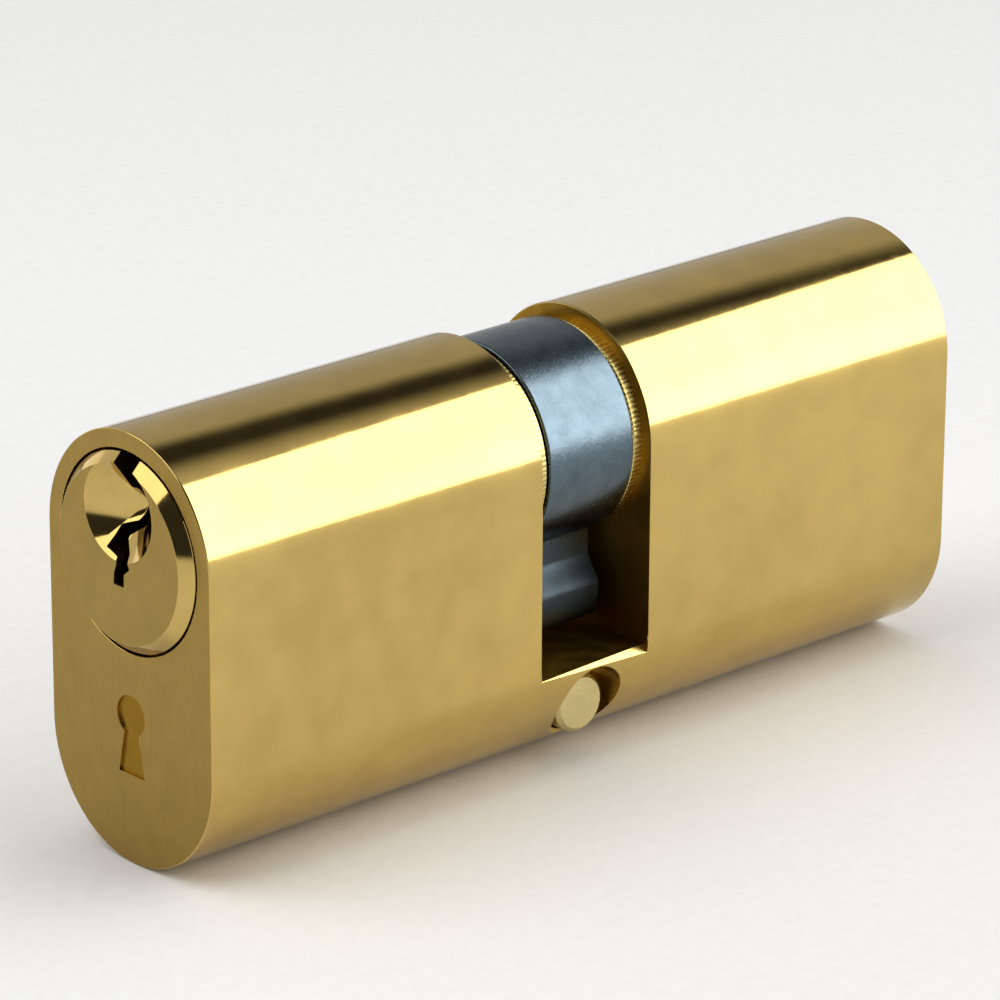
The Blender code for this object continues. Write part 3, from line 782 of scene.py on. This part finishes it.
def make_stacks(side, flip):
    turn = -1 if not flip else 1
    for number, (x, tip) in enumerate(zip(STACK_X, STACK_TIP), start=1):
        at = (-x, 0.0, 0.0)
        base = PLUG_Z - 6.35
        top = PLUG_Z + tip
        key_pin = place(f"{side}_key_pin_turned_{number}", turned(rounded([
            (base, PIN_R - 0.25), (base, PIN_R - 0.2), (base + 0.2, PIN_R), (top - 1.1, PIN_R), (top - 0.05, 0.36), (top, 0.30),
        ], 0.08), 48, "Z", at))
        finish_piece(key_pin, f"{side}_key_pin_{number}_sliding", [f"{side}_key_pin_{number}"], [M_KEY_PIN], flip=flip)
        high = PLUG_Z - 6.6
        driver = place(f"{side}_driver_pin_turned_{number}", turned(rounded([
            (high - 5.0, PIN_R - 0.25), (high - 5.0, PIN_R - 0.2), (high - 4.8, PIN_R), (high - 0.2, PIN_R), (high, PIN_R - 0.2), (high, PIN_R - 0.25),
        ], 0.08), 48, "Z", at))
        finish_piece(driver, f"{side}_driver_pin_{number}_sliding", [f"{side}_driver_pin_{number}"], [M_DRIVER], flip=flip)
        spring = place(f"{side}_spring_coil_{number}", coil(-x, -13.7 + 0.18, high - 5.1 - 0.18, 1.07, 0.18, 8))
        finish_piece(spring, "body", [f"{side}_spring_{number}"], [M_SPRING], flip=flip, sharp=60.0)
        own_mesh(spring)
        cap = place(f"{side}_chamber_cap_turned_{number}", turned(rounded([
            (-15.25, 0.5), (-15.25, 1.53), (-15.13, 1.65), (-13.9, 1.65), (-13.8, 1.55), (-13.8, 0.5),
        ], 0.05), 48, "Z", at))
        finish_piece(cap, "body", [f"{side}_chamber_cap_{number}"], [M_CAP], flip=flip)


make_body()
for side, flip in (("front", False), ("rear", True)):
    make_plug(side, flip)
    make_clip(side, flip)
    make_stacks(side, flip)
make_cam()
make_cross_pin()
make_coupler()


# ---------------------------------------------------------------- studio

floor = place("studio_floor", block((-4.0, -4.0, -0.0355), (4.0, 4.0, -0.01551)))
floor.data.materials.append(floor_paper())


def panel(name, direction, distance, width, height, radiance, colour=(1.0, 1.0, 1.0), aim=(0.0, 0.0, 0.0), roll=0.0):
    """A rectangular softbox, seen in reflections but not by the camera."""
    light = bpy.data.lights.new(name, "AREA")
    light.shape = "RECTANGLE"
    light.size = width
    light.size_y = height
    light.color = colour
    light.energy = radiance * math.pi * width * height
    ob = bpy.data.objects.new(name, light)
    bpy.context.scene.collection.objects.link(ob)
    where = Vector(direction).normalized() * distance
    ob.location = where
    toward = (Vector(aim) - where).normalized()
    ob.rotation_euler = (toward.to_track_quat("-Z", "Y").to_matrix() @ Matrix.Rotation(roll, 3, "Z")).to_euler()
    ob.visible_camera = False
    return ob


panel("key_panel", (0.60, -0.66, 0.43), 0.46, 0.64, 0.49, 1.5)
sheen = panel("sheen_panel", (0.60, -0.66, 0.43), 0.462, 0.64, 0.49, 2.4)
sheen.visible_diffuse = False
front = panel("front_panel", (-0.12, -0.93, 0.34), 0.52, 0.34, 0.36, 1.7)
front.visible_diffuse = False
panel("top_left_panel", (-0.66, 0.30, 0.70), 0.55, 0.50, 0.46, 2.1)
overhead = panel("overhead_panel", (0.10, 0.12, 1.0), 0.62, 0.78, 0.78, 1.2)
overhead.visible_glossy = False

world = bpy.data.worlds.new("studio")
bpy.context.scene.world = world
world.use_nodes = True
tree = world.node_tree
background = tree.nodes["Background"]
coord = tree.nodes.new("ShaderNodeTexCoord")


def sky(axis, low, high, dark, light):
    """A share of the sky's strength that rises smoothly across a plane of directions."""
    dot = tree.nodes.new("ShaderNodeVectorMath")
    dot.operation = "DOT_PRODUCT"
    dot.inputs[1].default_value = axis
    tree.links.new(coord.outputs["Generated"], dot.inputs[0])
    ramp = tree.nodes.new("ShaderNodeMapRange")
    ramp.interpolation_type = "SMOOTHSTEP"
    for key, number in (("From Min", low), ("From Max", high), ("To Min", dark), ("To Max", light)):
        ramp.inputs[key].default_value = number
    tree.links.new(dot.outputs["Value"], ramp.inputs["Value"])
    return ramp.outputs["Result"]


shoulder = tree.nodes.new("ShaderNodeMath")
shoulder.operation = "MULTIPLY"
tree.links.new(sky((-0.522, -0.805, 0.284), -0.19, 0.12, 0.0, 0.70), shoulder.inputs[0])
tree.links.new(sky((1.0, 0.0, 0.0), 0.2, 0.5, 0.0, 1.0), shoulder.inputs[1])
behind = tree.nodes.new("ShaderNodeMath")
behind.operation = "MULTIPLY"
tree.links.new(sky((0.0, 1.0, 0.0), 0.50, 0.80, 0.0, 0.75), behind.inputs[0])
tree.links.new(sky((-1.0, 0.0, 0.0), -0.45, -0.10, 0.0, 1.0), behind.inputs[1])
both = tree.nodes.new("ShaderNodeMath")
both.operation = "ADD"
tree.links.new(shoulder.outputs["Value"], both.inputs[0])
tree.links.new(behind.outputs["Value"], both.inputs[1])
total = tree.nodes.new("ShaderNodeMath")
total.operation = "ADD"
tree.links.new(sky((0.686, 0.284, -0.670), -0.02, 0.11, 0.04, 0.52), total.inputs[0])
tree.links.new(both.outputs["Value"], total.inputs[1])
background.inputs["Color"].default_value = (1.0, 0.99, 0.97, 1.0)
tree.links.new(total.outputs["Value"], background.inputs["Strength"])

camera = bpy.data.cameras.new("camera")
camera.sensor_width = 36.0
camera.lens = 202.65
camera.clip_start = 0.01
camera_ob = bpy.data.objects.new("camera", camera)
bpy.context.scene.collection.objects.link(camera_ob)
right = Vector((0.7382, -0.6746, 0.0047))
up = Vector((0.2307, 0.2591, 0.9379))
back = Vector((-0.6339, -0.6913, 0.3469))
camera_ob.matrix_world = Matrix((
    (right.x, up.x, back.x, -0.25227),
    (right.y, up.y, back.y, -0.27339),
    (right.z, up.z, back.z, 0.13969),
    (0.0, 0.0, 0.0, 1.0),
))
bpy.context.scene.camera = camera_ob
bpy.context.scene.view_settings.view_transform = "Standard"

bpy.context.view_layer.update()
